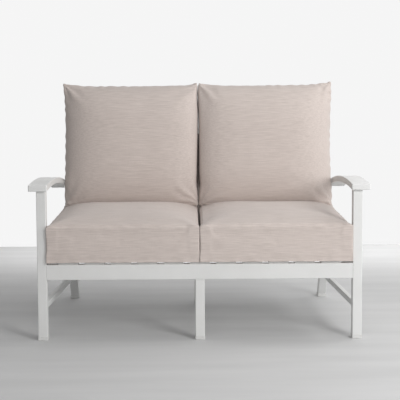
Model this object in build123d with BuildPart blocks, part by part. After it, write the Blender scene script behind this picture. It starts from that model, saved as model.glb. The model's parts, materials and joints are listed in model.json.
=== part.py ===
from build123d import *
import os
from math import atan2, cos, degrees, radians, sin, sqrt, tan

os.makedirs("parts", exist_ok=True)

# Patio loveseat, in millimetres and degrees. Left and right are as seen from the front: +X is right,
# +Y is the back and +Z is up. Depths are measured back from the front faces of the front legs.

# Overall stance
overall_width = 1372
leg_inset = 29
knee_depth = 630
knee_height = 240
foot_depth = 760
back_lean = 6.5
back_length = 553

# Square tube of the legs and the back frame
tube = 38
tube_wall = 2
tube_corner = 3
bend_radius = 50

# Arched flat arms
arm_width = 76
arm_thickness = 25
arm_radius = 2250
arm_peak_height = 640
arm_peak_depth = 110
arm_overhang = 20
arm_edge_round = 3
arm_wall = 2.5
arm_corner_round = 5

# Seat rails, stretchers and the bars under the seat
rail_height = 63
rail_thickness = 25
rail_top = 311
bearer_height = 40
cross_bar_depth = 320
stretcher_height = 25
stretcher_thickness = 20
stretcher_level = 130

# Seat slats and back slats
seat_slat_count = 11
seat_slat_thickness = 8
seat_slat_gap = 26
seat_slat_setback = 5
slat_edge_round = 2
back_slat_count = 9
back_slat_width = 38
back_slat_thickness = 10

# Foot glides and the caps of the back posts
glide_height = 16
glide_lip = 1.5
glide_corner = 4
glide_edge_round = 2
plug_length = 20
cap_thickness = 3
cap_edge_round = 1

# Clearances, and one overrun for everything that is cut back to fit
body_gap = 0.3
weld_gap = 0.1
plug_clearance = 0.3
overrun = 60

# Boxed seat cushions
seat_cushion_gap = 1
seat_cushion_side_gap = 1
seat_cushion_proud = 12
seat_cushion_rear_gap = 13
seat_cushion_thickness = 190
seat_cushion_corner = 24
seat_middle_share = 0.40
seat_side_shares = ((0, 0.009), (0.03, 0.002), (seat_middle_share, 0), (0.76, 0.002), (0.81, 0.009))
seat_crown_shares = ((0.81, 0.009), (0.845, 0.03), (0.89, 0.085), (0.93, 0.15), (0.97, 0.24), (1, 0.38))

# Knife-edge back cushions
back_cushion_gap = 2
back_cushion_side_gap = 3
back_cushion_height = 540
back_cushion_thickness = 198
back_crown_room = 4
back_cushion_base = 471
back_outer_draw = 12
back_inner_draw = 6
back_top_draw = 13
back_bottom_draw = 18
back_depth_shares = (0, 0.30, 0.60, 0.82, 0.94, 1)
back_size_shares = (1, 0.975, 0.905, 0.77, 0.58, 0.34)

# Fill blocks inside the cushions, in proportion to each cushion
seat_foam_shares = (0.78, 0.76, 0.61)
back_fill_shares = (0.50, 0.48, 0.45)
fill_corner = 30

# Places that follow from the sizes above
half_width = overall_width / 2
leg_slant = degrees(atan2(foot_depth - knee_depth, knee_height - glide_height))
foot_run = tube / cos(radians(leg_slant))
rear_reach = foot_depth + foot_run / 2 + glide_lip
front_y = (arm_overhang - rear_reach) / 2
knee_y = front_y + knee_depth
foot_y = front_y + foot_depth
front_post_x = half_width - leg_inset - tube / 2
arm_x = half_width - arm_width / 2
rear_post_x = half_width - arm_width - tube / 2
post_back_y = front_y + tube
rail_level = rail_top - rail_height / 2
arm_axis_y = front_y + arm_peak_depth
arm_axis_z = arm_peak_height - arm_radius
sides = (("left", -1), ("right", 1))

# The back frame and the slanted rear legs each have a plane of their own through the knee: local
# X runs along the seat, local Y runs up the tube and local Z points to the front.
back_plane = Plane(
    origin=(0, knee_y, knee_height),
    x_dir=(1, 0, 0),
    z_dir=(0, -cos(radians(back_lean)), sin(radians(back_lean))),
)
leg_plane = Plane(
    origin=(0, knee_y, knee_height),
    x_dir=(1, 0, 0),
    z_dir=(0, -cos(radians(leg_slant)), -sin(radians(leg_slant))),
)
post_front_plane = back_plane.offset(tube / 2)
post_rear_plane = back_plane.offset(-tube / 2)
leg_front_plane = leg_plane.offset(tube / 2)


def lean_y(height):
    # Depth of the back posts' centre line at a height above the floor
    return knee_y + (height - knee_height) * tan(radians(back_lean))


def tube_section(wide, high):
    RectangleRounded(wide, high, tube_corner)
    RectangleRounded(
        wide - 2 * tube_wall, high - 2 * tube_wall, tube_corner - tube_wall, mode=Mode.SUBTRACT
    )


def straight_tube(start, end, wide, high, trims=(), upright=(0, 0, 1)):
    # Rectangular tube from point to point, its high side along upright, cut back by planes
    line = Vector(*end) - Vector(*start)
    section_plane = Plane(origin=start, x_dir=Vector(*upright).cross(line), z_dir=line)
    with BuildPart() as run:
        with BuildSketch(section_plane):
            tube_section(wide, high)
        extrude(amount=line.length)
        for plane, keep in trims:
            split(bisect_by=plane, keep=keep)
    return run.part


def save(part, name):
    part.label = name
    export_step(part, f"parts/{name}.step")


# Front legs, each in one length from its glide to the underside of the arm
for hand, side in sides:
    with BuildPart() as front_leg:
        with BuildSketch(Plane.XY.offset(glide_height)):
            with Locations((side * front_post_x, front_y + tube / 2)):
                tube_section(tube, tube)
        extrude(amount=arm_peak_height)
        with BuildSketch(Plane.YZ):
            with Locations((arm_axis_y, arm_axis_z)):
                Circle(arm_radius - arm_thickness - weld_gap)
        extrude(amount=half_width, both=True, mode=Mode.INTERSECT)
    save(front_leg.part, f"front_leg_{hand}")

# Rear legs, each bent at the knee and carried on up as the back post
for hand, side in sides:
    rear_x = side * rear_post_x
    foot_end = leg_plane.from_local_coords((rear_x, -knee_height / cos(radians(leg_slant)), 0))
    knee = back_plane.from_local_coords((rear_x, 0, 0))
    post_end = back_plane.from_local_coords((rear_x, back_length, 0))
    with BuildPart() as rear_leg:
        with BuildLine() as rear_path:
            FilletPolyline(foot_end, knee, post_end, radius=bend_radius)
        with BuildSketch(Plane(origin=foot_end, x_dir=(1, 0, 0), z_dir=knee - foot_end)):
            tube_section(tube, tube)
        sweep(path=rear_path.line)
        split(bisect_by=Plane.XY.offset(glide_height), keep=Keep.TOP)
    save(rear_leg.part, f"rear_leg_{hand}")

# Arched flat arms, hollow with closed ends: the inner edge runs along the outer face of the back post
arm_front_y = front_y - arm_overhang
arm_rear_y = lean_y(arm_peak_height) + tube + overrun


def arc_height(y, radius):
    return arm_axis_z + sqrt(radius**2 - (y - arm_axis_y) ** 2)


def arched_bar(centre_x, inset):
    # The arm's bar, or the hollow inside it when it is inset by the wall
    high_radius = arm_radius - inset
    low_radius = arm_radius - arm_thickness + inset
    start_y = arm_front_y + inset
    with BuildPart() as bar:
        with BuildSketch(Plane.YZ.offset(centre_x - arm_width / 2 + inset)):
            with BuildLine():
                top = ThreePointArc(
                    (start_y, arc_height(start_y, high_radius)),
                    (arm_axis_y, arm_axis_z + high_radius),
                    (arm_rear_y, arc_height(arm_rear_y, high_radius)),
                )
                under = ThreePointArc(
                    (start_y, arc_height(start_y, low_radius)),
                    (arm_axis_y, arm_axis_z + low_radius),
                    (arm_rear_y, arc_height(arm_rear_y, low_radius)),
                )
                Line(top @ 0, under @ 0)
                Line(top @ 1, under @ 1)
            make_face()
        extrude(amount=arm_width - 2 * inset)
        split(bisect_by=post_rear_plane.offset(inset), keep=Keep.TOP)
    return bar.part


for hand, side in sides:
    with BuildPart() as arm:
        add(arched_bar(side * arm_x, 0))
        front_corners = arm.edges().filter_by(Axis.Z).group_by(Axis.Y)[0]
        fillet(front_corners, arm_corner_round)
        fillet(arm.faces().sort_by(Axis.Y)[0].edges(), arm_edge_round)
        add(arched_bar(side * arm_x, arm_wall), mode=Mode.SUBTRACT)
    save(arm.part, f"arm_{hand}")

# Front and rear seat rails between the legs
front_rail_y = front_y + rail_thickness / 2
rear_rail_y = lean_y(rail_level)
front_span = front_post_x - tube / 2
rear_span = rear_post_x - tube / 2
front_rail = straight_tube(
    (-front_span, front_rail_y, rail_level),
    (front_span, front_rail_y, rail_level),
    rail_thickness,
    rail_height,
)
save(front_rail, "front_rail")
rear_rail = straight_tube(
    (-rear_span, rear_rail_y, rail_level), (rear_span, rear_rail_y, rail_level), tube, rail_height
)
save(rear_rail, "rear_rail")

# Side rails and the low stretchers run inwards to the rear legs, which stand closer together
for hand, side in sides:
    start = Vector(side * front_post_x, post_back_y, 0)
    end = Vector(side * rear_post_x, lean_y(rail_level), 0)
    reach = (end - start).normalized() * overrun
    rail_start = start - reach + Vector(0, 0, rail_level)
    rail_end = end + reach + Vector(0, 0, rail_level)
    front_trim = (Plane.XZ.offset(-post_back_y), Keep.BOTTOM)
    side_rail = straight_tube(
        rail_start,
        rail_end,
        rail_thickness,
        rail_height,
        trims=(front_trim, (post_front_plane, Keep.TOP)),
    )
    save(side_rail, f"side_rail_{hand}")
    low_start = start - reach + Vector(0, 0, stretcher_level)
    low_end = end + 2 * reach + Vector(0, 0, stretcher_level)
    stretcher = straight_tube(
        low_start,
        low_end,
        stretcher_thickness,
        stretcher_height,
        trims=(front_trim, (leg_front_plane, Keep.TOP)),
    )
    save(stretcher, f"stretcher_{hand}")

# Centre bearer from the front rail to the rear rail, and a cross bar on each side of it
bearer_level = rail_top - bearer_height / 2
bearer_front = front_y + rail_thickness
bearer_rear = rear_rail_y - tube / 2
centre_bearer = straight_tube(
    (0, bearer_front, bearer_level), (0, bearer_rear, bearer_level), rail_thickness, bearer_height
)
save(centre_bearer, "centre_bearer")
cross_y = front_y + cross_bar_depth
rail_run = Vector(rear_post_x - front_post_x, lean_y(rail_level) - post_back_y, 0)
for hand, side in sides:
    rail_along = Vector(side * rail_run.X, rail_run.Y, 0)
    rail_inner = Plane(
        origin=(side * front_post_x, post_back_y, 0), x_dir=rail_along, z_dir=(0, 0, 1)
    )
    inner_face = Plane(
        origin=rail_inner.from_local_coords((0, side * rail_thickness / 2, 0)),
        x_dir=rail_along,
        z_dir=rail_along.cross(Vector(0, 0, side)),
    )
    cross_bar = straight_tube(
        (side * rail_thickness / 2, cross_y, bearer_level),
        (side * front_post_x, cross_y, bearer_level),
        rail_thickness,
        bearer_height,
        trims=((inner_face, Keep.BOTTOM),),
    )
    save(cross_bar, f"cross_bar_{hand}")

# Centre legs under the front and the rear rail
centre_leg_ys = {"front": front_rail_y, "rear": rear_rail_y}
for end_name, leg_y in centre_leg_ys.items():
    centre_leg = straight_tube(
        (0, leg_y, glide_height),
        (0, leg_y, rail_top - rail_height),
        tube,
        rail_thickness,
        upright=(0, 1, 0),
    )
    save(centre_leg, f"centre_leg_{end_name}")

# Seat slats lie on the rails and the bearers, front to back
seat_slat_pitch = (2 * rear_span + seat_slat_gap) / seat_slat_count
seat_slat_width = seat_slat_pitch - seat_slat_gap
slat_front = front_y + seat_slat_setback
slat_rear = lean_y(rail_top) - back_slat_thickness / 2 - seat_slat_setback
for number in range(seat_slat_count):
    slat_x = (number - (seat_slat_count - 1) / 2) * seat_slat_pitch
    with BuildPart() as seat_slat:
        with BuildSketch(Plane.XY.offset(rail_top)):
            with Locations((slat_x, (slat_front + slat_rear) / 2)):
                Rectangle(seat_slat_width, slat_rear - slat_front)
        extrude(amount=seat_slat_thickness)
        fillet(seat_slat.faces().sort_by(Axis.Z)[-1].edges().filter_by(Axis.Y), slat_edge_round)
    save(seat_slat.part, f"seat_slat_{number + 1:02d}")

# Back top rail, flush with the back posts, and the back slats below it
with BuildPart() as top_rail:
    rail_end_plane = Plane(
        origin=back_plane.from_local_coords((-rear_span, back_length - tube / 2, 0)),
        x_dir=back_plane.y_dir,
        z_dir=(1, 0, 0),
    )
    with BuildSketch(rail_end_plane):
        tube_section(tube, tube)
    extrude(amount=2 * rear_span)
save(top_rail.part, "back_top_rail")

back_slat_pitch = 2 * rear_span / (back_slat_count + 1)
for number in range(back_slat_count):
    slat_x = (number + 1) * back_slat_pitch - rear_span
    with BuildPart() as back_slat:
        with BuildSketch(back_plane):
            with Locations((slat_x, (back_length - tube) / 2)):
                Rectangle(back_slat_width, back_length - tube)
        extrude(amount=back_slat_thickness / 2, both=True)
        split(bisect_by=Plane.XY.offset(rail_top), keep=Keep.TOP)
        long_edges = back_slat.edges().filter_by(Axis(back_plane.origin, back_plane.y_dir))
        fillet(long_edges, slat_edge_round)
    save(back_slat.part, f"back_slat_{number + 1}")

# Caps pressed into the tops of the back posts
plug_side = tube - 2 * tube_wall - 2 * plug_clearance
post_top_plane = Plane(
    origin=back_plane.from_local_coords((0, back_length, 0)), x_dir=(1, 0, 0), z_dir=back_plane.y_dir
)
for hand, side in sides:
    with BuildPart() as post_cap:
        with BuildSketch(post_top_plane):
            with Locations((side * rear_post_x, 0)):
                RectangleRounded(tube, tube, tube_corner)
        extrude(amount=cap_thickness)
        fillet(post_cap.faces().sort_by(Axis.Z)[-1].edges(), cap_edge_round)
        with BuildSketch(post_top_plane):
            with Locations((side * rear_post_x, 0)):
                RectangleRounded(plug_side, plug_side, tube_corner)
        extrude(amount=-plug_length)
    save(post_cap.part, f"post_cap_{hand}")


# Foot glides: a base as wide as the tube and its lip, and a plug inside the tube
def foot_glide(x, y, wide, deep, slant=0):
    stretch = 1 / cos(radians(slant))
    with BuildPart() as glide:
        with BuildSketch():
            with Locations((x, y)):
                RectangleRounded(
                    wide + 2 * glide_lip, deep * stretch + 2 * glide_lip, glide_corner
                )
        extrude(amount=glide_height)
        fillet(glide.faces().sort_by(Axis.Z)[-1].edges(), glide_lip / 2)
        fillet(glide.faces().sort_by(Axis.Z)[0].edges(), glide_edge_round)
        inside = 2 * tube_wall + 2 * plug_clearance
        with BuildSketch(Plane.XY.offset(glide_height)):
            with Locations((x, y)):
                RectangleRounded(wide - inside, (deep - inside) * stretch, tube_corner)
        extrude(amount=plug_length, dir=(0, -sin(radians(slant)), cos(radians(slant))))
    return glide.part


for hand, side in sides:
    front_glide = foot_glide(side * front_post_x, front_y + tube / 2, tube, tube)
    save(front_glide, f"glide_front_{hand}")
    rear_glide = foot_glide(side * rear_post_x, foot_y, tube, tube, leg_slant)
    save(rear_glide, f"glide_rear_{hand}")
for end_name, leg_y in centre_leg_ys.items():
    save(foot_glide(0, leg_y, tube, rail_thickness), f"glide_centre_{end_name}")

# Boxed seat cushions with a crowned top, each around its foam block
seat_base = rail_top + seat_slat_thickness + body_gap
seat_cushion_width = front_span - seat_cushion_side_gap - seat_cushion_gap
seat_cushion_front = front_y - seat_cushion_proud
post_clearance = tube / 2 / cos(radians(back_lean)) + seat_cushion_rear_gap
seat_cushion_depth = lean_y(seat_base) - post_clearance - seat_cushion_front
seat_cushion_y = seat_cushion_front + seat_cushion_depth / 2
seat_foam_width = seat_foam_shares[0] * seat_cushion_width
seat_foam_depth = seat_foam_shares[1] * seat_cushion_depth
seat_foam_height = seat_foam_shares[2] * seat_cushion_thickness
foam_level = seat_base + seat_cushion_thickness * seat_middle_share
for hand, side in sides:
    cushion_x = side * (seat_cushion_gap + seat_cushion_width / 2)
    with BuildPart() as seat_cushion:
        for section_shares in (seat_side_shares, seat_crown_shares):
            for level_share, inset_share in section_shares:
                level = seat_base + level_share * seat_cushion_thickness
                with BuildSketch(Plane.XY.offset(level)):
                    with Locations((cushion_x, seat_cushion_y)):
                        RectangleRounded(
                            (1 - 2 * inset_share) * seat_cushion_width,
                            (1 - 2 * inset_share) * seat_cushion_depth,
                            seat_cushion_corner,
                        )
            loft(ruled=True)
        with BuildSketch(Plane.XY.offset(foam_level)):
            with Locations((cushion_x, seat_cushion_y)):
                RectangleRounded(
                    seat_foam_width + 2 * body_gap, seat_foam_depth + 2 * body_gap, fill_corner
                )
        extrude(amount=seat_foam_height / 2 + body_gap, both=True, mode=Mode.SUBTRACT)
    save(seat_cushion.part, f"seat_cushion_{hand}")
    with BuildPart() as seat_foam:
        with BuildSketch(Plane.XY.offset(foam_level)):
            with Locations((cushion_x, seat_cushion_y)):
                RectangleRounded(seat_foam_width, seat_foam_depth, fill_corner)
        extrude(amount=seat_foam_height / 2, both=True)
    save(seat_foam.part, f"seat_foam_{hand}")

# Knife-edge back cushions, each around its fill block: the edges draw in between the corners
back_cushion_width = half_width - arm_width - back_cushion_side_gap - back_cushion_gap
back_fill_width = back_fill_shares[0] * back_cushion_width
back_fill_height = back_fill_shares[1] * back_cushion_height
back_fill_depth = back_fill_shares[2] * back_cushion_thickness
pillow_rise = (back_cushion_base - knee_height) / cos(radians(back_lean)) + back_cushion_height / 2
pillow_offset = tube / 2 + body_gap + back_crown_room + back_cushion_thickness / 2
for hand, side in sides:
    pillow_plane = Plane(
        origin=back_plane.from_local_coords(
            (side * (back_cushion_gap + back_cushion_width / 2), pillow_rise, pillow_offset)
        ),
        x_dir=(1, 0, 0),
        z_dir=back_plane.z_dir,
    )
    with BuildPart() as back_cushion:
        right_draw = back_outer_draw if side > 0 else back_inner_draw
        left_draw = back_outer_draw if side < 0 else back_inner_draw
        for facing in (1, -1):
            for depth_share, size_share in zip(back_depth_shares, back_size_shares):
                half_w = size_share * back_cushion_width / 2
                half_h = size_share * back_cushion_height / 2
                level = facing * depth_share * back_cushion_thickness / 2
                with BuildSketch(pillow_plane.offset(level)):
                    with BuildLine():
                        edge_draws = (
                            ((-half_w, half_h), (0, half_h - size_share * back_top_draw)),
                            ((half_w, half_h), (half_w - size_share * right_draw, 0)),
                            ((half_w, -half_h), (0, size_share * back_bottom_draw - half_h)),
                            ((-half_w, -half_h), (size_share * left_draw - half_w, 0)),
                        )
                        for index, (corner, middle) in enumerate(edge_draws):
                            next_corner = edge_draws[(index + 1) % len(edge_draws)][0]
                            ThreePointArc(corner, middle, next_corner)
                    make_face()
            loft()
        with BuildSketch(pillow_plane):
            RectangleRounded(
                back_fill_width + 2 * body_gap, back_fill_height + 2 * body_gap, fill_corner
            )
        extrude(amount=back_fill_depth / 2 + body_gap, both=True, mode=Mode.SUBTRACT)
    save(back_cushion.part, f"back_cushion_{hand}")
    with BuildPart() as back_fill:
        with BuildSketch(pillow_plane):
            RectangleRounded(back_fill_width, back_fill_height, fill_corner)
        extrude(amount=back_fill_depth / 2, both=True)
    save(back_fill.part, f"back_fill_{hand}")
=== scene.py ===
import json
import math

import bpy
import numpy as np
from mathutils import Matrix, Vector, noise


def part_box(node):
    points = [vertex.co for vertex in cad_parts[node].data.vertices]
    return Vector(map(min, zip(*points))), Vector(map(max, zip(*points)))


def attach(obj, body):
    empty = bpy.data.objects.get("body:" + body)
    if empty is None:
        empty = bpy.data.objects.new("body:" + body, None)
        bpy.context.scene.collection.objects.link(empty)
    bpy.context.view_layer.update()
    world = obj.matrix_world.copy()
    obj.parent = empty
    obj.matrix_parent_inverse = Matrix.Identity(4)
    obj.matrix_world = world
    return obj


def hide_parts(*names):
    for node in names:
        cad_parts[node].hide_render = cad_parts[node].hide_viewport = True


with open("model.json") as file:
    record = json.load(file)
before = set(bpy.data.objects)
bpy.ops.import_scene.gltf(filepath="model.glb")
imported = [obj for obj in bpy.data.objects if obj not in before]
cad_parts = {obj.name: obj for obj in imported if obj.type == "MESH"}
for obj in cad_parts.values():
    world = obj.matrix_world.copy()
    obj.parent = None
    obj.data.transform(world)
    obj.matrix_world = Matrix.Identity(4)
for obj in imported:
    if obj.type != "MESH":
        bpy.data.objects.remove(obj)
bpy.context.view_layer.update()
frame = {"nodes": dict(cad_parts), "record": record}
nodes = frame["nodes"]
print("frame loaded", len(nodes))


def pick(obj):
    bpy.ops.object.select_all(action="DESELECT")
    obj.select_set(True)
    bpy.context.view_layer.objects.active = obj


def applyModifier(obj, kind, settings):
    pick(obj)
    bpy.ops.object.modifier_add(type=kind)
    modifier = obj.modifiers[-1]
    for key, value in settings.items():
        setattr(modifier, key, value)
    bpy.ops.object.modifier_apply(modifier=modifier.name)


def newMaterial(name):
    material = bpy.data.materials.new(name)
    material.use_nodes = True
    return material, material.node_tree, material.node_tree.nodes["Principled BSDF"]


def addNode(tree, kind, inputs, **settings):
    node = tree.nodes.new(kind)
    for key, value in settings.items():
        setattr(node, key, value)
    for key, value in inputs.items():
        if isinstance(value, bpy.types.NodeSocket):
            tree.links.new(value, node.inputs[key])
        else:
            node.inputs[key].default_value = value
    return node


def addPlace(tree):
    return addNode(tree, "ShaderNodeTexCoord", {}).outputs["Object"]


def addNoise(tree, vector, scale, detail):
    node = addNode(tree, "ShaderNodeTexNoise", {"Vector": vector, "Scale": scale, "Detail": detail})
    return node.outputs["Fac"]


def addRange(tree, value, low, high, toLow, toHigh):
    inputs = {"Value": value, "From Min": low, "From Max": high, "To Min": toLow, "To Max": toHigh}
    return addNode(tree, "ShaderNodeMapRange", inputs).outputs["Result"]


def addMix(tree, factor, first, second):
    # Colour mix: its colour sockets are the seventh and eighth inputs and the third output
    node = addNode(tree, "ShaderNodeMix", {0: factor, 6: first, 7: second}, data_type="RGBA")
    return node.outputs[2]


def addMath(tree, operation, first, second):
    node = addNode(tree, "ShaderNodeMath", {0: first, 1: second}, operation=operation)
    return node.outputs[0]


def addStretch(tree, vector, scale):
    node = addNode(tree, "ShaderNodeMapping", {"Vector": vector, "Scale": scale})
    return node.outputs["Vector"]


def addBump(tree, height, strength, distance):
    inputs = {"Height": height, "Strength": strength, "Distance": distance}
    return addNode(tree, "ShaderNodeBump", inputs).outputs["Normal"]


# Powder-coated aluminium: off-white, with a fine orange-peel surface and a faint uneven tone
coat = {
    # A noise is (scale, detail), a range (low, high, new low, new high), a bump (strength, metres)
    "light": (0.74, 0.74, 0.73, 1),
    "dull": (0.67, 0.67, 0.655, 1),
    "cloud": (6, 4),
    "toneRange": (0.45, 0.75, 0, 0.6),
    "roughRange": (0.3, 0.7, 0.36, 0.50),
    "peel": (700, 2),
    "bump": (0.15, 0.0005),
}


def makeCoat(name):
    material, tree, shader = newMaterial(name)
    place = addPlace(tree)
    cloud = addNoise(tree, place, *coat["cloud"])
    tone = addMix(tree, addRange(tree, cloud, *coat["toneRange"]), coat["light"], coat["dull"])
    tree.links.new(tone, shader.inputs["Base Color"])
    tree.links.new(addRange(tree, cloud, *coat["roughRange"]), shader.inputs["Roughness"])
    peel = addNoise(tree, place, *coat["peel"])
    tree.links.new(addBump(tree, peel, *coat["bump"]), shader.inputs["Normal"])
    return material


coatMaterial = makeCoat("powder_coat")
print("coat made")

# Glides and caps: moulded grey-white plastic with scuffs
plastic = {
    "light": (0.68, 0.68, 0.665, 1),
    "scuffed": (0.50, 0.49, 0.47, 1),
    "scuffStretch": (60, 60, 220),
    "scuff": (1, 5),
    "scuffRange": (0.52, 0.74, 0, 0.8),
    "roughRange": (0, 1, 0.55, 0.75),
    "grain": (450, 3),
    "bump": (0.2, 0.0004),
}


def makePlastic(name):
    material, tree, shader = newMaterial(name)
    place = addPlace(tree)
    marks = addNoise(tree, addStretch(tree, place, plastic["scuffStretch"]), *plastic["scuff"])
    scuff = addRange(tree, marks, *plastic["scuffRange"])
    tree.links.new(addMix(tree, scuff, plastic["light"], plastic["scuffed"]), shader.inputs["Base Color"])
    tree.links.new(addRange(tree, scuff, *plastic["roughRange"]), shader.inputs["Roughness"])
    grain = addNoise(tree, place, *plastic["grain"])
    tree.links.new(addBump(tree, grain, *plastic["bump"]), shader.inputs["Normal"])
    return material


plasticMaterial = makePlastic("moulded_plastic")
print("plastic made")

# Foam and fibre fill, sealed inside the cushions
fill = {
    "light": (0.86, 0.83, 0.72, 1),
    "dark": (0.74, 0.69, 0.56, 1),
    "rough": 0.95,
    "poreScale": 260,
    "bump": (0.5, 0.001),
}


def makeFill(name):
    material, tree, shader = newMaterial(name)
    shader.inputs["Roughness"].default_value = fill["rough"]
    inputs = {"Vector": addPlace(tree), "Scale": fill["poreScale"]}
    pores = addNode(tree, "ShaderNodeTexVoronoi", inputs).outputs["Distance"]
    tree.links.new(addMix(tree, pores, fill["dark"], fill["light"]), shader.inputs["Base Color"])
    tree.links.new(addBump(tree, pores, *fill["bump"]), shader.inputs["Normal"])
    return material


fillMaterial = makeFill("fill")
print("fill made")

# Slubby woven cloth: thick and thin weft threads run along X, or along Y on the sides
cloth = {
    "light": (0.690, 0.612, 0.570, 1),
    "middle": (0.612, 0.536, 0.497, 1),
    "dark": (0.490, 0.422, 0.388, 1),
    "rough": 0.92,
    "sheen": 0.25,
    "sheenRough": 0.6,
    "specular": 0.25,
    "sideRange": (0.84, 0.94, 0, 1),
    # A thread is (stretch along it, stretch across it, noise scale, noise detail)
    "slub": (17, 270, 1, 3),
    "weft": (45, 640, 1, 2),
    "warp": (900, 60, 1, 1),
    "patch": (4, 3),
    "slubRange": (0.30, 0.68, 0, 1),
    "weftRange": (0.25, 0.75, 0.15, 0.75),
    "warpRange": (0.35, 0.70, 0, 0.22),
    "patchRange": (0.35, 0.65, 0, 0.18),
    "weftHeight": 0.7,
    "warpHeight": 0.5,
    "bump": (0.35, 0.0012),
}


def makeCloth(name):
    material, tree, shader = newMaterial(name)
    shader.inputs["Roughness"].default_value = cloth["rough"]
    shader.inputs["Sheen Weight"].default_value = cloth["sheen"]
    shader.inputs["Sheen Roughness"].default_value = cloth["sheenRough"]
    shader.inputs["Specular IOR Level"].default_value = cloth["specular"]
    outputs = addNode(tree, "ShaderNodeTexCoord", {}).outputs
    place = outputs["Object"]
    facing = addNode(tree, "ShaderNodeSeparateXYZ", {0: outputs["Normal"]}).outputs["X"]
    sideways = addRange(tree, addMath(tree, "ABSOLUTE", facing, 0), *cloth["sideRange"])

    def thread(along, across, scale, detail):
        alongX = addNoise(tree, addStretch(tree, place, (along, across, across)), scale, detail)
        alongY = addNoise(tree, addStretch(tree, place, (across, along, across)), scale, detail)
        node = addNode(tree, "ShaderNodeMix", {0: sideways, 2: alongX, 3: alongY}, data_type="FLOAT")
        return node.outputs[0]

    slub, weft, warp = (thread(*cloth[kind]) for kind in ("slub", "weft", "warp"))
    patch = addNoise(tree, place, *cloth["patch"])
    tone = addMix(tree, addRange(tree, slub, *cloth["slubRange"]), cloth["dark"], cloth["light"])
    tone = addMix(tree, addRange(tree, weft, *cloth["weftRange"]), tone, cloth["middle"])
    tone = addMix(tree, addRange(tree, warp, *cloth["warpRange"]), tone, cloth["dark"])
    tone = addMix(tree, addRange(tree, patch, *cloth["patchRange"]), tone, cloth["middle"])
    tree.links.new(tone, shader.inputs["Base Color"])
    weftHeight = addMath(tree, "MULTIPLY", weft, cloth["weftHeight"])
    warpHeight = addMath(tree, "MULTIPLY", warp, cloth["warpHeight"])
    height = addMath(tree, "ADD", weftHeight, warpHeight)
    tree.links.new(addBump(tree, height, *cloth["bump"]), shader.inputs["Normal"])
    return material


clothMaterial = makeCloth("slub_cloth")
print("cloth made")

looks = {
    "white_metal": coatMaterial,
    "glide_plastic": plasticMaterial,
    "cap_plastic": plasticMaterial,
    "fill_foam": fillMaterial,
    "cushion_fabric": clothMaterial,
}
slots = {entry["node"]: entry["material_slot"] for entry in frame["record"]["subparts"]}
for name, node in nodes.items():
    node.data.materials.clear()
    node.data.materials.append(looks[slots[name]])
print("materials given")

# What both kinds of cover share: mesh size in metres, and how the cloth swells
shell = {
    "weld": 0.0002,
    "voxel": 0.0085,
    "smooth": 0.5,
    "firstRounds": 2,
    "pressure": 4,
    "stretch": 15,
    "bend": 0.5,
    "mass": 0.3,
    "quality": 5,
}


def outerCopy(name, newName):
    # A welded copy of a CAD cushion's outer shell, without the cavity's shell inside it
    pick(nodes[name])
    bpy.ops.object.duplicate()
    copy = bpy.context.object
    copy.parent = None
    copy.matrix_world = Matrix.Identity(4)
    bpy.ops.object.mode_set(mode="EDIT")
    bpy.ops.mesh.select_all(action="SELECT")
    bpy.ops.mesh.remove_doubles(threshold=shell["weld"])
    bpy.ops.mesh.separate(type="LOOSE")
    bpy.ops.object.mode_set(mode="OBJECT")
    shells = sorted(bpy.context.selected_objects, key=lambda item: item.dimensions.x)
    for inner in shells[:-1]:
        bpy.data.objects.remove(inner)
    shells[-1].name = newName
    return shells[-1]


def soften(obj, rounds):
    applyModifier(obj, "SMOOTH", {"factor": shell["smooth"], "iterations": rounds})


def startCover(kind, hand):
    cover = outerCopy(kind + "_cushion_" + hand, kind + "_cover_" + hand)
    applyModifier(cover, "REMESH", {"mode": "VOXEL", "voxel_size": shell["voxel"]})
    soften(cover, shell["firstRounds"])
    return cover


def coordinates(obj):
    values = np.empty(len(obj.data.vertices) * 3)
    obj.data.vertices.foreach_get("co", values)
    return values.reshape(-1, 3)


def normals(obj):
    values = np.empty(len(obj.data.vertices) * 3)
    obj.data.vertices.foreach_get("normal", values)
    return values.reshape(-1, 3)


def setCoordinates(obj, values):
    obj.data.vertices.foreach_set("co", values.ravel())
    obj.data.update()


def inflate(obj, frames, cap, held):
    # Pressure swells the cloth, and no point may move further than the cap
    before = coordinates(obj)
    group = obj.vertex_groups.new(name="held")
    group.add([int(index) for index in np.nonzero(held)[0]], 1.0, "REPLACE")
    pick(obj)
    bpy.ops.object.modifier_add(type="CLOTH")
    modifier = obj.modifiers[-1]
    modifier.settings.quality = shell["quality"]
    modifier.settings.mass = shell["mass"]
    modifier.settings.tension_stiffness = shell["stretch"]
    modifier.settings.compression_stiffness = shell["stretch"]
    modifier.settings.bending_stiffness = shell["bend"]
    modifier.settings.use_pressure = True
    modifier.settings.uniform_pressure_force = shell["pressure"]
    modifier.settings.vertex_group_mass = "held"
    modifier.settings.effector_weights.gravity = 0
    modifier.collision_settings.use_collision = False
    modifier.point_cache.frame_start = 1
    modifier.point_cache.frame_end = frames
    for step in range(1, frames + 1):
        bpy.context.scene.frame_set(step)
    bpy.ops.object.modifier_apply(modifier=modifier.name)
    bpy.context.scene.frame_set(1)
    moved = coordinates(obj) - before
    lengths = np.linalg.norm(moved, axis=1, keepdims=True)
    setCoordinates(obj, before + moved * (cap / (cap + lengths)))
    print("inflated", obj.name, len(before), "most", round(float(lengths.max()), 4))


def swell(obj, look, held):
    # Returns the points of the blown-up and refined cover
    inflate(obj, look["frames"], look["cap"], held)
    applyModifier(obj, "SUBSURF", {"levels": 1, "render_levels": 1})
    return coordinates(obj)


def fitSpan(values, low, high):
    # Stretches one run of coordinates so that it spans exactly from low to high
    least, most = values.min(), values.max()
    return low + (values - least) * (high - low) / (most - least)


def ramp(values):
    return np.clip(values, 0, 1)


def bell(away, width):
    return np.exp(-((away / width) ** 2))


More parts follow.
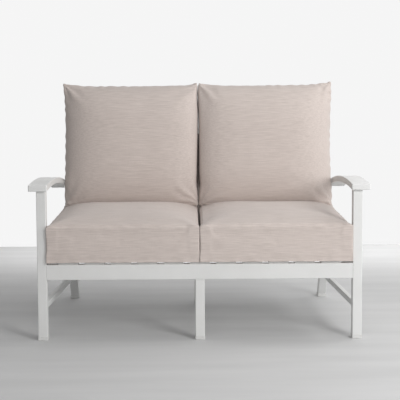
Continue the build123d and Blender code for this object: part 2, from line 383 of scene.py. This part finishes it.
def wander(points, scale, seed, weights=(1, 1, 1)):
    # Smooth noise from -1 to 1 at every point
    result = np.empty(len(points))
    for index, point in enumerate(points * np.array(weights) * scale + seed):
        result[index] = noise.noise(point)
    return result


# Seat cushions: boxed, crowned, with a sewn seam round the top and the bottom panel
seatLook = {
    # Lengths are in metres, and levels are shares of the height
    "frames": 14,
    "cap": 0.006,
    "held": 0.006,
    "rise": 0.006,
    "lowestLevel": 0.08,
    "boxTop": 0.80,
    "levels": 9,
    "levelBand": 0.05,
    "crownCut": 0.26,
    "corner": 0.055,
    "sharp": 6,
    "lift": 0.0028,
    "liftDepth": 0.06,
    "liftLevel": 0.15,
    "dome": 0.018,
    "domePower": 5,
    "domeLevel": 0.6,
    "lastRounds": 2,
    "seams": (0.150, 0.014),
    "seamDepth": 0.0022,
    "seamWidth": 0.004,
    "steepest": 0.15,
    "waver": (0.0015, 22, 0, (1, 1, 0)),
    "pucker": 0.0007,
    "puckerRate": 90,
    "puckerTurn": (3, 14, 5, (1, 1, 1)),
    "puckerWidth": 0.018,
    "underside": -0.5,
    "waves": ((0.0020, 6, 11, (1, 1, 1)), (0.0012, 19, 17, (0.5, 1, 1))),
}


def wave(points, seed, height, scale, step, weights):
    # A look lists a wave as height, noise scale, step of the seed, and weights of the axes
    return height * wander(points, scale, seed + step, weights)


def straighten(points, low, high, level):
    # The sides stand upright below the crown
    steps = np.linspace(seatLook["lowestLevel"], seatLook["boxTop"], seatLook["levels"])
    for axis in (0, 1):
        centre, halfSpan = (low[axis] + high[axis]) / 2, (high[axis] - low[axis]) / 2
        away = points[:, axis] - centre
        widths = [np.abs(away[np.abs(level - step) < seatLook["levelBand"]]).max() for step in steps]
        points[:, axis] = centre + away * halfSpan / np.interp(level, steps, widths)


def squareUp(points, low, high, first, second, belowOnly):
    # Draws a rounded edge of a box out towards a square one, seen along the third axis
    reach, sharp = seatLook["corner"], seatLook["sharp"]
    nearZero = 0.001
    pair = np.array((first, second))
    middle = (np.array(low) + np.array(high))[pair] / 2
    half = (np.array(high) - np.array(low))[pair] / 2
    away = points[:, pair] - middle
    share = ramp((np.abs(away) - (half - reach)) / reach)
    plain = np.hypot(share[:, 0], share[:, 1])
    squared = (share**sharp).sum(axis=1) ** (1 / sharp)
    used = (share.min(axis=1) > 0) & ~(belowOnly & (away[:, 1] > 0))
    factor = np.where(used, plain / np.maximum(squared, nearZero), 1)
    stretched = np.sign(away) * (half - reach + reach * np.minimum(share * factor[:, None], 1))
    points[:, pair] = np.where(used[:, None], middle + stretched, points[:, pair])


def boxSeat(points, low, high):
    for axis in range(3):
        points[:, axis] = fitSpan(points[:, axis], low[axis], high[axis])
    level = (points[:, 2] - low[2]) / (high[2] - low[2])
    straighten(points, low, high, level)
    # The crown above the straight sides is flattened a little
    points[:, 2] -= seatLook["crownCut"] * ramp(level - seatLook["boxTop"]) * (high[2] - low[2])
    # Firm foam keeps the upright corners and the bottom edges crisp
    for first, second, belowOnly in ((1, 2, True), (0, 2, True), (0, 1, False)):
        squareUp(points, low, high, first, second, belowOnly)
    # The bottom edge at the front stands clear of the rail, and the crown falls off to both sides
    liftDepth, liftLevel, domeLevel = seatLook["liftDepth"], seatLook["liftLevel"], seatLook["domeLevel"]
    front = ramp((low[1] + liftDepth - points[:, 1]) / liftDepth) * ramp(1 - level / liftLevel)
    points[:, 2] += seatLook["lift"] * front
    aside = np.abs((points[:, 0] - (low[0] + high[0]) / 2) / (high[0] - low[0]) * 2)
    dome = aside ** seatLook["domePower"] * ramp((level - domeLevel) / (1 - domeLevel))
    points[:, 2] -= seatLook["dome"] * dome


def seatShift(points, facing, floorLevel, seed):
    # How far each point moves along its normal for seams, puckers and waves
    steep = 1 - np.abs(facing[:, 2]) > seatLook["steepest"]
    height = points[:, 2] - floorLevel + wave(points, seed, *seatLook["waver"])
    turn = wave(points, seed, *seatLook["puckerTurn"])
    pucker = np.sin(seatLook["puckerRate"] * (points[:, 0] + points[:, 1]) + turn)
    shift = np.zeros(len(points))
    for seam in seatLook["seams"]:
        away = np.abs(height - seam)
        shift -= seatLook["seamDepth"] * bell(away, seatLook["seamWidth"]) * steep
        shift += seatLook["pucker"] * pucker * bell(away, seatLook["puckerWidth"]) * steep
    for entry in seatLook["waves"]:
        shift += wave(points, seed, *entry) * (facing[:, 2] > seatLook["underside"])
    return shift


def makeSeat(hand, seed):
    cover = startCover("seat", hand)
    height = coordinates(cover)[:, 2]
    points = swell(cover, seatLook, height < height.min() + seatLook["held"])
    low, high = (Vector(corner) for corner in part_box("seat_cushion_" + hand))
    high.z += seatLook["rise"]
    boxSeat(points, low, high)
    setCoordinates(cover, points)
    soften(cover, seatLook["lastRounds"])
    points, facing = coordinates(cover), normals(cover)
    points += facing * seatShift(points, facing, low[2], seed)[:, None]
    # The cover keeps to the solid's width, so that it slides out between the posts
    points[:, 0] = np.clip(points[:, 0], low[0], high[0])
    setCoordinates(cover, points)
    return cover


# Back cushions: knife-edge, with one seam round the rim that draws the sides in
backLook = {
    # Lengths are in metres, and depths count from the rim, positive towards the front
    "frames": 16,
    "cap": 0.024,
    "heldRim": 0.006,
    "heldRear": -0.092,
    "lean": math.radians(6.5),
    "halfWidth": 0.3025,
    "halfHeight": 0.270,
    "draws": {"outer": 0.012, "inner": 0.006, "top": 0.013, "bottom": 0.018},
    "thick": 0.101,
    "kept": 0.12,
    "edge": 3.2,
    "puff": 0.58,
    "wall": 0.52,
    "wallEdge": 150,
    "roundEdge": 5,
    "roundPuff": 0.8,
    "ear": 0.009,
    "earPower": 8,
    "topDraw": 0.007,
    "sink": 0.013,
    "innerDraw": -0.003,
    "sideDraw": {"left": 0.004, "right": 0.006},
    "sideEar": {"left": 0.008, "right": 0.0},
    "outerTrim": 0.001,
    "closedBehind": -0.015,
    "closedShare": 0.75,
    "closedReach": 0.05,
    # The slot's places run from -1 at the bottom to 1 at the top
    "slotAt": (-1, -0.88, -0.65, -0.45, -0.08, 0.4, 0.7, 1),
    "slotWide": (0, 0.003, 0.010, 0.007, 0.0055, 0.003, 0.0015, 0),
    "slotStart": -0.045,
    "slotBlend": 0.025,
    "slotSide": 6,
    "lastRounds": 3,
    "rearSide": -0.08,
    "wave": (0.0026, 5.5, 0, (1, 1, 0.7)),
    "fold": 0.0020,
    "foldReach": 0.06,
    "foldWidth": 0.06,
    "foldRate": 9,
    "foldTurn": (4, 9, 0, (1, 1, 1)),
    "gather": 0.0013,
    "gatherRate": 120,
    "gatherTurn": (4, 12, 21, (1, 1, 1)),
    "gatherWidth": 0.03,
    "innerGather": 0.3,
    "rim": 0.0016,
    "rimWidth": 0.010,
}


def dropOff(share, edge, puff):
    # From 1 in the middle to 0 at the rim
    return (1 - share**edge) ** puff


def pillow(across, rise, depth, inward):
    # Each point's share of the way to the rim, and a full crown that dies away at the rim
    halfWide, halfHigh, draws = backLook["halfWidth"], backLook["halfHeight"], backLook["draws"]
    sideDraw = np.where(inward, draws["inner"], draws["outer"])
    endDraw = np.where(rise > 0, draws["top"], draws["bottom"])
    shareX = np.clip(across / (halfWide - sideDraw * (1 - (rise / halfHigh) ** 2)), -1, 1)
    shareZ = np.clip(rise / (halfHigh - endDraw * (1 - shareX**2)), -1, 1)
    # On the inner side the fronts stand up straight from the rim first, and round over after that
    wideX, wideZ, wall = np.abs(shareX), np.abs(shareZ), backLook["wall"]
    rounded = dropOff(wideX, backLook["roundEdge"], backLook["roundPuff"])
    inner = wall * dropOff(wideX, backLook["wallEdge"], 0.5) + (1 - wall) * rounded
    crown = np.where(inward, inner, dropOff(wideX, backLook["edge"], backLook["puff"]))
    crown = crown * dropOff(wideZ, backLook["edge"], backLook["puff"])
    full = np.sign(depth) * backLook["thick"] * crown
    return shareX, shareZ, backLook["kept"] * depth + (1 - backLook["kept"]) * full


def outline(shareX, shareZ, rise, depth, inward, hand):
    # The top edge is nearly straight, the four corners stand out as ears, and the inner rims meet
    halfWide, halfHigh, sink = backLook["halfWidth"], backLook["halfHeight"], backLook["sink"]
    above = rise > 0
    corners = (shareX * shareZ) ** backLook["earPower"]
    ears = np.where(above, backLook["ear"], -sink) * corners
    rise = shareZ * (halfHigh - np.where(above, backLook["topDraw"], -sink) * (1 - corners)) + ears
    # Behind the rims the inner sides lie against each other
    short, part = 1 - np.abs(shareX), backLook["closedShare"]
    closed = 1 - short * (1 - part + part * ramp(short / backLook["closedReach"]))
    shareX = np.where(inward & (depth < backLook["closedBehind"]), np.sign(shareX) * closed, shareX)
    sideDraw = np.where(inward, backLook["innerDraw"], backLook["sideDraw"][hand])
    trim = np.where(inward, 0, backLook["outerTrim"])
    across = shareX * (halfWide - sideDraw * (1 - shareZ**2) - trim)
    sideEar = np.where(inward | (rise < 0), 0, backLook["sideEar"][hand] * corners)
    across = across + np.sign(across) * sideEar
    # In front of the rims the two fronts part in a slot that widens towards the seat
    opening = np.interp(shareZ, backLook["slotAt"], backLook["slotWide"])
    ahead = ramp((depth - backLook["slotStart"]) / backLook["slotBlend"])
    slotSide = backLook["slotSide"]
    side = ramp(np.abs(shareX) * slotSide - (slotSide - 1)) * inward
    return across - np.sign(across) * opening * side * ahead * (2 - ahead), rise


def backShift(points, across, rise, depth, inward, seed):
    # How far each point moves along its normal for waves, corner folds and the gathered rim
    front = depth > backLook["rearSide"]
    shift = wave(points, seed, *backLook["wave"]) * front
    for sideX in (-1, 1):
        for sideZ in (-1, 1):
            awayX = sideX * backLook["halfWidth"] - across
            awayZ = sideZ * backLook["halfHeight"] - rise
            angle = np.arctan2(np.abs(awayZ), np.abs(awayX))
            strength = bell(np.hypot(awayX, awayZ) - backLook["foldReach"], backLook["foldWidth"])
            turn = wave(points, seed + 3 * sideX + sideZ, *backLook["foldTurn"])
            shift += backLook["fold"] * np.sin(backLook["foldRate"] * angle + turn) * strength * front
    turn = wave(points, seed, *backLook["gatherTurn"])
    gather = np.sin(backLook["gatherRate"] * (across + rise) + turn)
    gather = gather * np.where(inward, backLook["innerGather"], 1)
    shift += backLook["gather"] * gather * bell(depth, backLook["gatherWidth"])
    return shift + backLook["rim"] * bell(depth, backLook["rimWidth"])


def makeBack(hand, seed):
    cover = startCover("back", hand)
    low, high = (Vector(corner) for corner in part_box("back_cushion_" + hand))
    middle = np.array((low + high) / 2)
    ahead = np.array([0, -math.cos(backLook["lean"]), math.sin(backLook["lean"])])
    up = np.array([0, math.sin(backLook["lean"]), math.cos(backLook["lean"])])
    depth = (coordinates(cover) - middle) @ ahead
    held = (np.abs(depth) < backLook["heldRim"]) | (depth < backLook["heldRear"])
    local = swell(cover, backLook, held) - middle
    across = fitSpan(local[:, 0], -backLook["halfWidth"], backLook["halfWidth"])
    rise = fitSpan(local @ up, -backLook["halfHeight"], backLook["halfHeight"])
    inward = across > 0 if hand == "left" else across < 0
    shareX, shareZ, depth = pillow(across, rise, local @ ahead, inward)
    across, rise = outline(shareX, shareZ, rise, depth, inward, hand)
    points = middle + np.outer(across, (1, 0, 0)) + np.outer(rise, up) + np.outer(depth, ahead)
    setCoordinates(cover, points)
    soften(cover, backLook["lastRounds"])
    points = coordinates(cover)
    shift = backShift(points, across, rise, depth, inward, seed)
    setCoordinates(cover, points + normals(cover) * shift[:, None])
    return cover


seeds = {"left": 3.7, "right": 8.1}
for hand, seed in seeds.items():
    for kind, maker in (("seat", makeSeat), ("back", makeBack)):
        cover = maker(hand, seed)
        pick(cover)
        bpy.ops.object.shade_smooth()
        cover.data.materials.clear()
        cover.data.materials.append(clothMaterial)
        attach(cover, kind + "_" + hand)
        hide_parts(kind + "_cushion_" + hand)
print("cushions made")

# Floor that ends where the photograph's wall meets it, and a white surround
ground = {
    "halfWidth": 9,
    "near": -9,
    "far": 1.727,
    "light": (0.65, 0.65, 0.65, 1),
    "dark": (0.60, 0.60, 0.60, 1),
    "rough": 0.75,
    "streakStretch": (1.2, 9, 1),
    "streak": (1, 4),
    "streakRange": (0.35, 0.65, 0, 1),
}
bpy.ops.mesh.primitive_plane_add(size=1, location=(0, 0, 0))
floor = bpy.context.object
floor.name = "floor"
floor.scale = (2 * ground["halfWidth"], ground["far"] - ground["near"], 1)
floor.location = (0, (ground["far"] + ground["near"]) / 2, 0)
bpy.ops.object.transform_apply(location=True, rotation=False, scale=True)
floorMaterial, tree, shader = newMaterial("floor")
shader.inputs["Roughness"].default_value = ground["rough"]
streak = addNoise(tree, addStretch(tree, addPlace(tree), ground["streakStretch"]), *ground["streak"])
tone = addMix(tree, addRange(tree, streak, *ground["streakRange"]), ground["light"], ground["dark"])
tree.links.new(tone, shader.inputs["Base Color"])
floor.data.materials.append(floorMaterial)

# The surround is near white where it is seen or mirrored, and lights the scene more faintly
surround = {"white": (1, 1, 1, 1), "ambient": 0.27, "seen": (0.915, 0.915, 0.915, 1)}
world = bpy.data.worlds.new("surround")
bpy.context.scene.world = world
world.use_nodes = True
tree = world.node_tree
background = tree.nodes["Background"]
background.inputs["Color"].default_value = surround["white"]
background.inputs["Strength"].default_value = surround["ambient"]
seen = addNode(tree, "ShaderNodeBackground", {"Color": surround["seen"], "Strength": 1})
rays = addNode(tree, "ShaderNodeLightPath", {})
whiteFor = addMath(tree, "MAXIMUM", rays.outputs["Is Camera Ray"], rays.outputs["Is Glossy Ray"])
blend = addNode(tree, "ShaderNodeMixShader", {0: whiteFor, 1: background.outputs[0], 2: seen.outputs[0]})
tree.links.new(blend.outputs[0], tree.nodes["World Output"].inputs["Surface"])

# Soft light, most of it from the right, and two narrower lamps for the far floor
openSpread = 180
lamps = {
    # Power is in watts, spread in degrees, and a lamp with no spread of its own has the open one
    "key": {"at": (2.1, 0.2, 2.8), "to": (0, 0.1, 0.2), "size": (1.5, 1.5), "power": 22},
    "top": {"at": (0.2, -0.6, 3.2), "to": (0, 0.1, 0.2), "size": (2, 2), "power": 7},
    "side": {"at": (2.3, -3.0, 1.9), "to": (0.1, -0.1, 0.5), "size": (1.3, 1.3), "power": 71},
    "front": {"at": (0.4, -4.6, 2.1), "to": (0.1, -0.1, 0.5), "size": (1.6, 1.6), "power": 14},
    "left": {"at": (-1.6, -4.4, 1.7), "to": (0, -0.1, 0.5), "size": (1.6, 1.6), "power": 8},
    "low": {"at": (3.6, -1.4, 1.0), "to": (0, 0, 0.3), "size": (1.6, 1.2), "power": 20},
    "rear": {"at": (0.6, 2.6, 2.0), "to": (0.3, 1.3, 0), "size": (3, 1), "power": 7, "spread": 120},
    "strip": {"at": (0.4, 1.5, 1.3), "to": (0.4, 1.5, 0), "size": (3.8, 0.5), "power": 6.4, "spread": 70},
}
for name, lamp in lamps.items():
    aim = (Vector(lamp["to"]) - Vector(lamp["at"])).to_track_quat("-Z", "Y").to_euler()
    bpy.ops.object.light_add(type="AREA", location=lamp["at"], rotation=aim)
    light = bpy.context.object
    light.name = name + "_light"
    light.data.shape = "RECTANGLE"
    light.data.size, light.data.size_y = lamp["size"]
    light.data.energy = lamp["power"]
    light.data.spread = math.radians(lamp.get("spread", openSpread))

# The photograph's viewpoint: eye at 1.13 m, about 4.1 m in front of the front legs
eye = {
    # Angles are in radians, lens and sensor in millimetres
    "at": (-0.0383, -4.4523, 1.1323),
    "yaw": 0.0101,
    "tilt": 0.0781,
    "roll": -0.0048,
    "lens": 91.81,
    "sensor": 36,
    "shift": -0.15,
    "farthest": 100,
}
turn = Matrix.Rotation(-eye["yaw"], 3, "Z") @ Matrix.Rotation(math.pi / 2 - eye["tilt"], 3, "X")
turn = turn @ Matrix.Rotation(eye["roll"], 3, "Z")
bpy.ops.object.camera_add(location=eye["at"], rotation=turn.to_euler())
camera = bpy.context.object
camera.data.lens = eye["lens"]
camera.data.sensor_width = eye["sensor"]
camera.data.shift_y = eye["shift"]
camera.data.clip_end = eye["farthest"]
bpy.context.scene.camera = camera
bpy.context.scene.view_settings.view_transform = "Standard"
print("stage made")
